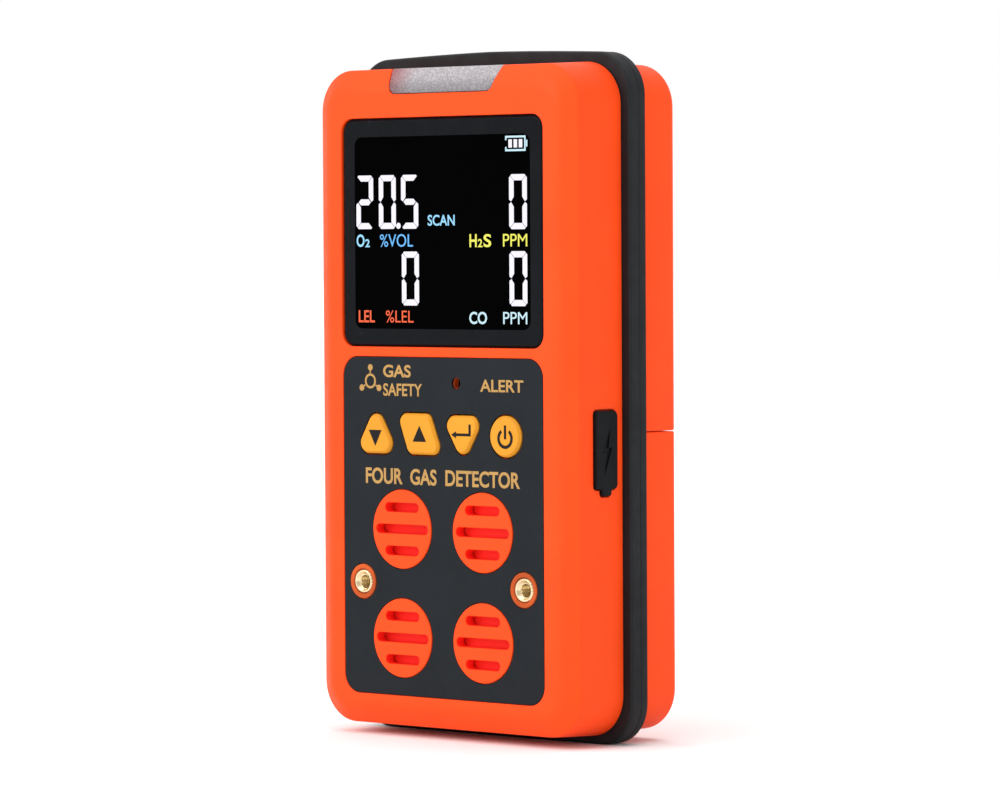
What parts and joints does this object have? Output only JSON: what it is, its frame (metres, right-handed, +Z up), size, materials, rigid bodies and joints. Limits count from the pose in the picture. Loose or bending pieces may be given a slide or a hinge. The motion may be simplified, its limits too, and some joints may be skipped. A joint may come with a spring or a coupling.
{
  "type": "portable gas detector",
  "caption": "Hand-held multi-gas detector with a colour display, membrane-style keys, round gas ports, bumper band, charging socket cover and rear belt clip.",
  "frame": {"origin": "middle of the flat bottom of the bumper band, which the detector stands on", "axes": "+Z up along the body; the front face with the display looks along -Y; +X is the right-hand side seen from the front"},
  "size_m": [0.0728, 0.041, 0.1348],
  "materials": {
    "shell_orange": "fine-textured moulded orange plastic",
    "bumper_rubber": "matt black elastomer",
    "film_slate": "dark slate printed film, matt",
    "window_black": "glossy black window with a dark grey border",
    "light_clear": "frosted clear light cap",
    "key_amber": "satin amber silicone",
    "brass": "turned brass",
    "steel": "bright steel",
    "board_green": "green solder resist",
    "plastic_black": "black moulded plastic",
    "plastic_white": "white moulded plastic",
    "foam_grey": "grey foam",
    "membrane_white": "white porous membrane",
    "battery_wrap": "blue heat-shrink film"
  },
  "bodies": {
    "housing": {"front_shell": "shell_orange", "rear_shell": "shell_orange", "battery_cover": "shell_orange", "sensor_retainer": "shell_orange", "bumper_band": "bumper_rubber", "front_overlay": "film_slate", "display_window": "window_black", "alarm_light_lens": "light_clear", "keypad_web": "key_amber", "lcd_flex": "key_amber", "threaded_insert_left": "brass", "threaded_insert_right": "brass", "usb_socket": "steel", "vibration_motor": "steel", "case_screw_lower_left": "steel", "case_screw_lower_right": "steel", "case_screw_upper_left": "steel", "case_screw_upper_right": "steel", "cover_screw_left": "steel", "cover_screw_right": "steel", "clip_screw_lower": "steel", "clip_screw_upper": "steel", "clip_pin": "steel", "clip_spring": "steel", "main_board": "board_green", "sensor_board": "board_green", "lcd_module": "plastic_black", "buzzer": "plastic_black", "board_header": "plastic_black", "switch_body_down": "plastic_black", "switch_body_up": "plastic_black", "switch_body_enter": "plastic_black", "switch_body_power": "plastic_black", "clip_bracket": "plastic_black", "lcd_bracket": "plastic_white", "alarm_led_left": "plastic_white", "alarm_led_right": "plastic_white", "gas_sensor_o2": "plastic_white", "gas_sensor_h2s": "plastic_white", "gas_sensor_co": "plastic_white", "gas_sensor_lel": "plastic_white", "battery_connector": "plastic_white", "lcd_gasket": "foam_grey", "sensor_gasket": "foam_grey", "sensor_filter_o2": "membrane_white", "sensor_filter_h2s": "membrane_white", "sensor_filter_co": "membrane_white", "sensor_filter_lel": "membrane_white", "battery_pack": "battery_wrap"},
    "down_key": {"key_down": "key_amber", "switch_plunger_down": "plastic_white"},
    "up_key": {"key_up": "key_amber", "switch_plunger_up": "plastic_white"},
    "enter_key": {"key_enter": "key_amber", "switch_plunger_enter": "plastic_white"},
    "power_key": {"key_power": "key_amber", "switch_plunger_power": "plastic_white"},
    "usb_flap": {"usb_cover": "bumper_rubber"},
    "clip_arm": {"clip_lever": "plastic_black"},
    "motor_weight": {"vibration_weight": "brass"}
  },
  "joints": [
    {"name": "down_key_press", "type": "slide", "parent": "housing", "child": "down_key", "axis": [0, 1, 0], "range_m": [0, 0.0005], "stiffness_N_per_m": 300, "springref_m": -0.0005},
    {"name": "up_key_press", "type": "slide", "parent": "housing", "child": "up_key", "axis": [0, 1, 0], "range_m": [0, 0.0005], "stiffness_N_per_m": 300, "springref_m": -0.0005},
    {"name": "enter_key_press", "type": "slide", "parent": "housing", "child": "enter_key", "axis": [0, 1, 0], "range_m": [0, 0.0005], "stiffness_N_per_m": 300, "springref_m": -0.0005},
    {"name": "power_key_press", "type": "slide", "parent": "housing", "child": "power_key", "axis": [0, 1, 0], "range_m": [0, 0.0005], "stiffness_N_per_m": 300, "springref_m": -0.0005},
    {"name": "usb_cover_hinge", "type": "hinge", "parent": "housing", "child": "usb_flap", "pos_m": [0.0346, -0.00775, 0.06525], "axis": [0, -1, 0], "range_deg": [0, 110], "stiffness_Nm_per_rad": 0.002, "springref_deg": -2.86},
    {"name": "clip_hinge", "type": "hinge", "parent": "housing", "child": "clip_arm", "pos_m": [0, 0.0193, 0.112], "axis": [1, 0, 0], "range_deg": [0, 20], "stiffness_Nm_per_rad": 0.4, "springref_deg": -14.32},
    {"name": "vibration_spin", "type": "hinge", "parent": "housing", "child": "motor_weight", "pos_m": [-0.0062, -0.001, 0.115], "axis": [1, 0, 0], "continuous": true}
  ]
}
